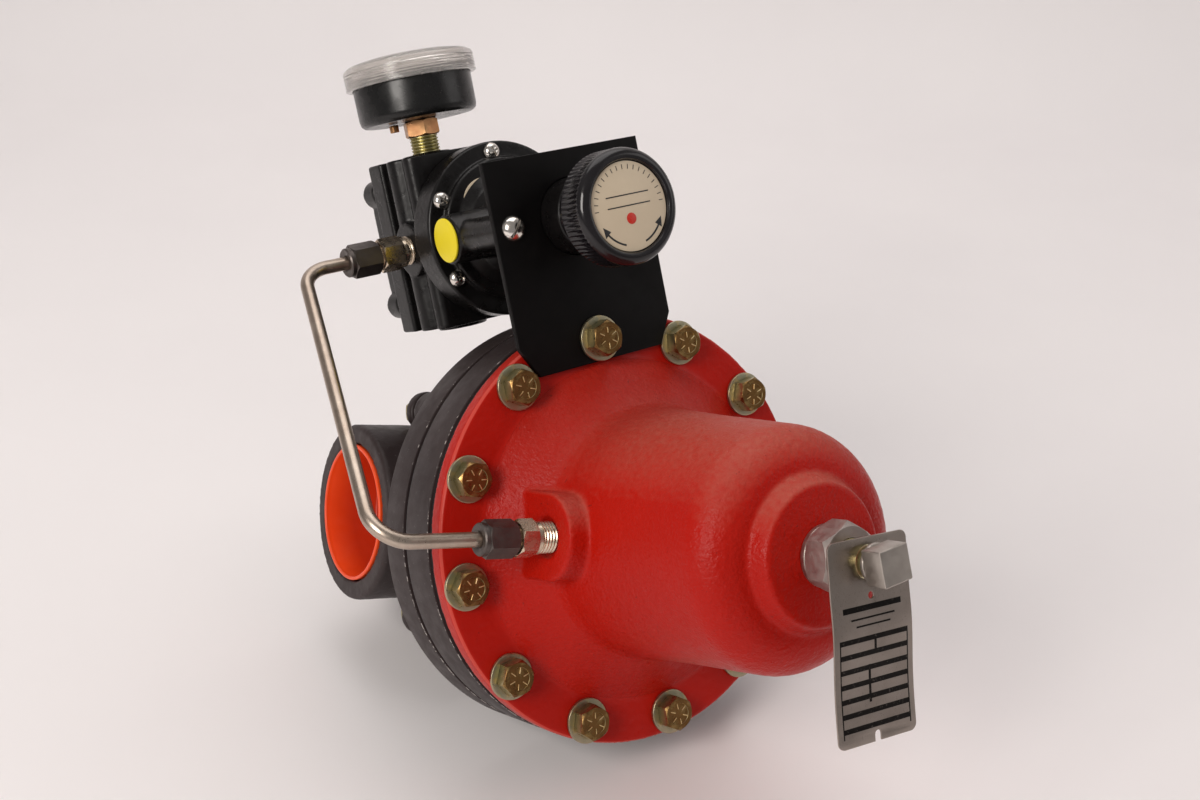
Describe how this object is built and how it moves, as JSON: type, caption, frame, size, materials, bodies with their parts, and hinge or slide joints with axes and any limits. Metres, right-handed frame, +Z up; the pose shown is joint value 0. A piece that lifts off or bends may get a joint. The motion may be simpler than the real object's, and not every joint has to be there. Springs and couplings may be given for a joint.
{
  "type": "diaphragm pressure regulating valve",
  "caption": "Air-loaded diaphragm regulating valve lying on its side: bolted spring housing, threaded-port body, pilot regulator with knob and gauge, bent loading tube.",
  "frame": {"origin": "centre of the bounding box's base, on the surface the valve lies on", "axes": "+Z up; the valve's main axis lies in the YZ plane, nose towards -Y and raised 23.4 degrees; +X to the right seen from the nose"},
  "size_m": [0.2356, 0.3766, 0.3005],
  "materials": {
    "red_enamel": "glossy red enamel over a sand-cast surface",
    "dark_paint": "satin grey-black paint",
    "black_rubber": "matte",
    "yellow_zinc": "yellow zinc plate",
    "plain_steel": "machined",
    "stainless": "brushed",
    "orange_plastic": "glossy moulded",
    "black_coat": "satin black coating",
    "black_casting": "glossy black paint on a die casting",
    "yellow_plastic": "matte",
    "chrome": "bright plate",
    "black_plastic": "glossy moulded",
    "cream_label": "satin label",
    "nickel": "nickel plate",
    "phosphate": "dark phosphate",
    "brass": "tarnished",
    "white_dial": "matte print",
    "clear_plastic": "clear moulded lens"
  },
  "bodies": {
    "valve": {"body_gasket": "black_rubber", "body_screw_1": "yellow_zinc", "body_screw_2": "yellow_zinc", "body_screw_3": "yellow_zinc", "body_screw_4": "yellow_zinc", "bottom_plug": "dark_paint", "bracket_screw_left": "chrome", "bracket_screw_right": "chrome", "flange_bolt_01": "yellow_zinc", "flange_bolt_02": "yellow_zinc", "flange_bolt_03": "yellow_zinc", "flange_bolt_04": "yellow_zinc", "flange_bolt_05": "yellow_zinc", "flange_bolt_06": "yellow_zinc", "flange_bolt_07": "yellow_zinc", "flange_bolt_08": "yellow_zinc", "flange_bolt_09": "yellow_zinc", "flange_bolt_10": "yellow_zinc", "flange_bolt_11": "yellow_zinc", "flange_bolt_12": "yellow_zinc", "gauge_case": "black_plastic", "gauge_dial": "white_dial", "gauge_lens": "clear_plastic", "gauge_socket": "brass", "loading_tube": "stainless", "lower_case": "dark_paint", "lower_diaphragm": "black_rubber", "mounting_bracket": "black_coat", "range_spring": "plain_steel", "regulator_body": "black_casting", "regulator_bonnet": "black_casting", "regulator_fitting": "nickel", "regulator_rear_cap": "black_casting", "regulator_tube_nut": "phosphate", "seal_washer": "black_rubber", "seat_plate": "plain_steel", "side_plug": "yellow_plastic", "signal_fitting": "nickel", "signal_tube_nut": "phosphate", "spacer_ring": "dark_paint", "spring_housing": "red_enamel", "upper_diaphragm": "black_rubber", "valve_body": "dark_paint"},
    "adjuster": {"spring_button": "plain_steel"},
    "screw": {"adjusting_screw": "plain_steel"},
    "tag": {"name_tag": "stainless"},
    "lock_nut": {"lock_nut": "plain_steel"},
    "trim": {"valve_stem": "plain_steel", "upper_pressure_plate": "plain_steel", "middle_pressure_plate": "plain_steel", "lower_pressure_plate": "plain_steel", "sliding_disc": "plain_steel"},
    "knob": {"regulator_knob": "black_plastic", "knob_label": "cream_label"},
    "pointer": {"gauge_pointer": "black_coat"},
    "plug_left": {"port_plug_left": "orange_plastic"},
    "plug_right": {"port_plug_right": "orange_plastic"}
  },
  "joints": [
    {"name": "adjuster_travel", "type": "slide", "parent": "valve", "child": "adjuster", "axis": [0, -0.9178, 0.3971], "range_m": [-0.00577, 0.00231], "deforming": ["range_spring"]},
    {"name": "adjusting_screw_turn", "type": "hinge", "parent": "adjuster", "child": "screw", "pos_m": [0.01863, -0.16031, 0.17291], "axis": [0, -0.9178, 0.3971], "range_deg": [-900, 360]},
    {"name": "name_tag_swing", "type": "hinge", "parent": "adjuster", "child": "tag", "pos_m": [0.01863, -0.16031, 0.17291], "axis": [0, -0.9178, 0.3971], "range_deg": [-90, 90]},
    {"name": "lock_nut_turn", "type": "hinge", "parent": "valve", "child": "lock_nut", "pos_m": [0.01863, -0.14655, 0.16695], "axis": [0, -0.9178, 0.3971], "range_deg": [0, 180]},
    {"name": "stem_travel", "type": "slide", "parent": "valve", "child": "trim", "axis": [0, -0.9178, 0.3971], "range_m": [0, 0.006], "deforming": ["range_spring", "upper_diaphragm", "lower_diaphragm"]},
    {"name": "regulator_knob_turn", "type": "hinge", "parent": "valve", "child": "knob", "pos_m": [0.01863, 0.00904, 0.25707], "axis": [0, -0.9178, 0.3971], "range_deg": [-1080, 1080]},
    {"name": "gauge_pointer_turn", "type": "hinge", "parent": "valve", "child": "pointer", "pos_m": [0.00363, 0.15546, 0.27816], "axis": [0, -0.3971, -0.9178], "range_deg": [0, 270], "stiffness_Nm_per_rad": 0.0005},
    {"name": "left_plug_pull", "type": "slide", "parent": "valve", "child": "plug_left", "axis": [-0.9659, 0.1028, 0.2375], "range_m": [0, 0.04]},
    {"name": "right_plug_pull", "type": "slide", "parent": "valve", "child": "plug_right", "axis": [0.9659, -0.1028, -0.2375], "range_m": [0, 0.04]}
  ],
  "couplings": [
    {"joint": "adjusting_screw_turn", "follows": "adjuster_travel", "rad_per_m": 2721.1}
  ]
}
